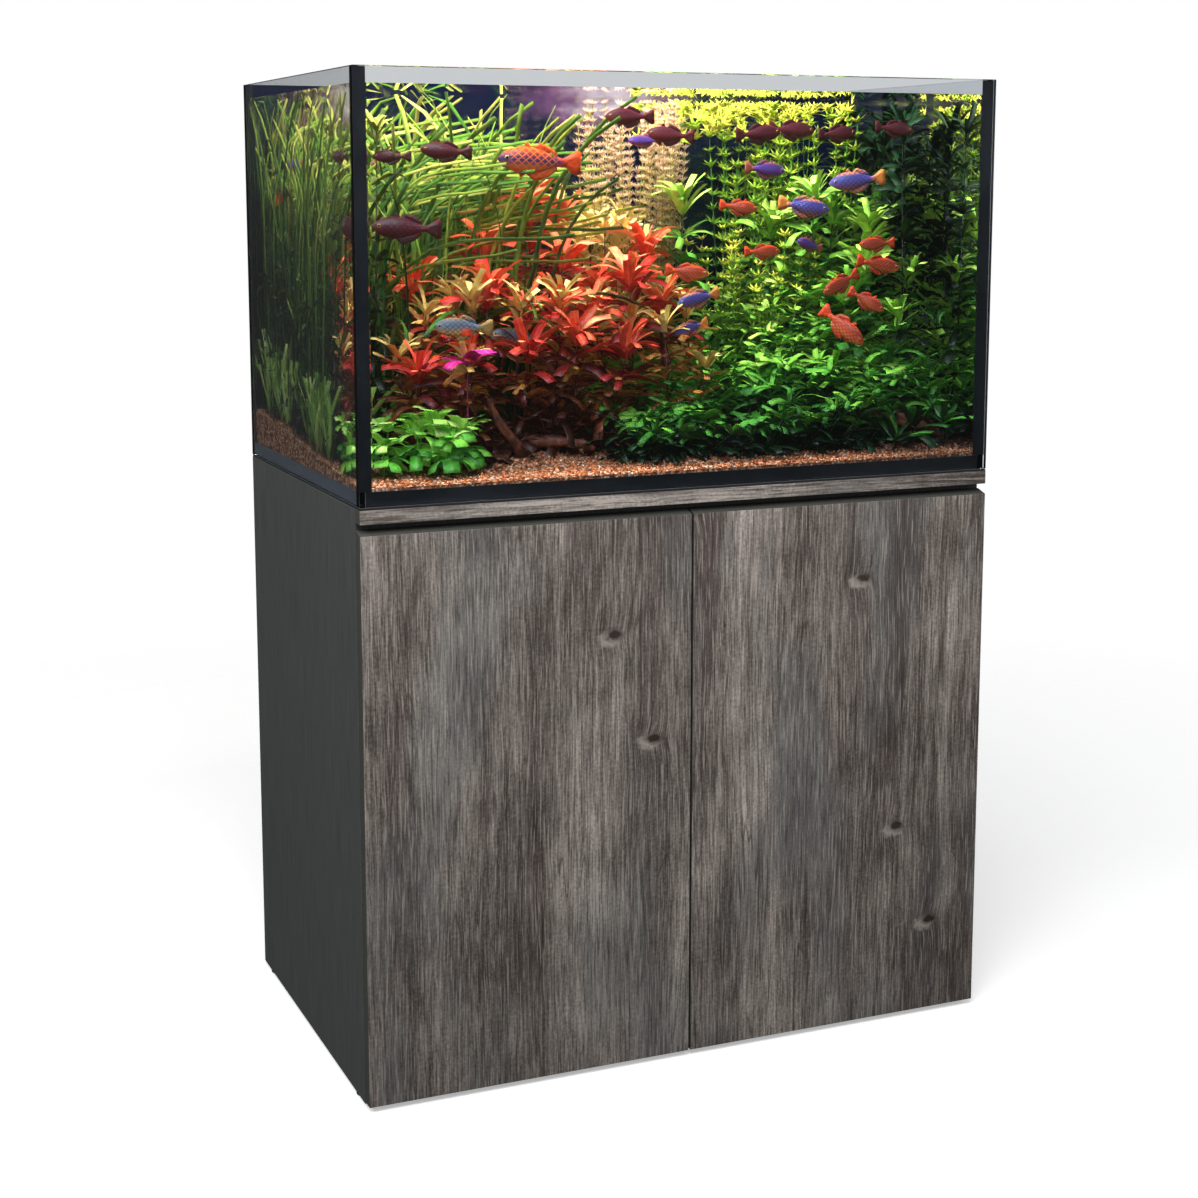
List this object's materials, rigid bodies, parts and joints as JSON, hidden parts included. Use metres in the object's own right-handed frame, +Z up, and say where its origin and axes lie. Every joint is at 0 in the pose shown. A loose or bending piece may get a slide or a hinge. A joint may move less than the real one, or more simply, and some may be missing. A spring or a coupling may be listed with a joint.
{
  "type": "aquarium on stand",
  "caption": "Open-topped glass aquarium with a gravel bed, standing on a wooden cabinet whose doors swing open from a finger gap under its top.",
  "frame": {"origin": "on the floor, under the middle of the cabinet", "axes": "+X to the right of someone facing the doors, +Y from the doors towards the back, +Z up"},
  "size_m": [0.9, 0.55, 1.3103],
  "materials": {
    "driftwood_decor": "satin",
    "anthracite_board": "satin",
    "clear_glass": "polished",
    "black_silicone": "satin",
    "background_film": "satin",
    "orange_gravel": "matte",
    "nickel_steel": "satin",
    "black_plastic": "matte",
    "foam_mat": "matte",
    "bumper_rubber": "satin",
    "water": "polished",
    "green_leaf": "satin",
    "red_leaf": "satin",
    "root_wood": "matte",
    "fish_scale": "satin"
  },
  "bodies": {
    "root": {"left_side_panel": "anthracite_board", "right_side_panel": "anthracite_board", "bottom_board": "anthracite_board", "top_board": "anthracite_board", "front_rail": "anthracite_board", "back_panel": "anthracite_board", "centre_partition": "anthracite_board", "front_fascia": "driftwood_decor", "left_hose_grommet": "black_plastic", "right_hose_grommet": "black_plastic", "front_left_glide": "black_plastic", "front_middle_glide": "black_plastic", "front_right_glide": "black_plastic", "rear_left_glide": "black_plastic", "rear_middle_glide": "black_plastic", "rear_right_glide": "black_plastic", "left_lower_hinge_arm": "nickel_steel", "left_lower_hinge_plate": "nickel_steel", "left_upper_hinge_arm": "nickel_steel", "left_upper_hinge_plate": "nickel_steel", "right_lower_hinge_arm": "nickel_steel", "right_lower_hinge_plate": "nickel_steel", "right_upper_hinge_arm": "nickel_steel", "right_upper_hinge_plate": "nickel_steel", "left_magnet_catch": "black_plastic", "right_magnet_catch": "black_plastic", "foam_mat": "foam_mat", "base_glass": "clear_glass", "front_glass": "clear_glass", "back_glass": "clear_glass", "left_glass": "clear_glass", "right_glass": "clear_glass", "background_film": "background_film", "base_seal": "black_silicone", "front_left_corner_seal": "black_silicone", "front_right_corner_seal": "black_silicone", "rear_left_corner_seal": "black_silicone", "rear_right_corner_seal": "black_silicone", "gravel_bed": "orange_gravel"},
    "left_door": {"left_door": "driftwood_decor", "left_lower_hinge_cup": "nickel_steel", "left_upper_hinge_cup": "nickel_steel", "left_lower_bumper": "bumper_rubber", "left_upper_bumper": "bumper_rubber", "left_strike_plate": "nickel_steel"},
    "right_door": {"right_door": "driftwood_decor", "right_lower_hinge_cup": "nickel_steel", "right_upper_hinge_cup": "nickel_steel", "right_lower_bumper": "bumper_rubber", "right_upper_bumper": "bumper_rubber", "right_strike_plate": "nickel_steel"}
  },
  "joints": [
    {"name": "left_door_hinge", "type": "hinge", "parent": "root", "child": "left_door", "pos_m": [-0.4438, -0.2665, 0.3765], "axis": [0, 0, -1], "range_deg": [0, 95]},
    {"name": "right_door_hinge", "type": "hinge", "parent": "root", "child": "right_door", "pos_m": [0.4438, -0.2665, 0.3765], "axis": [0, 0, 1], "range_deg": [0, 95]}
  ]
}
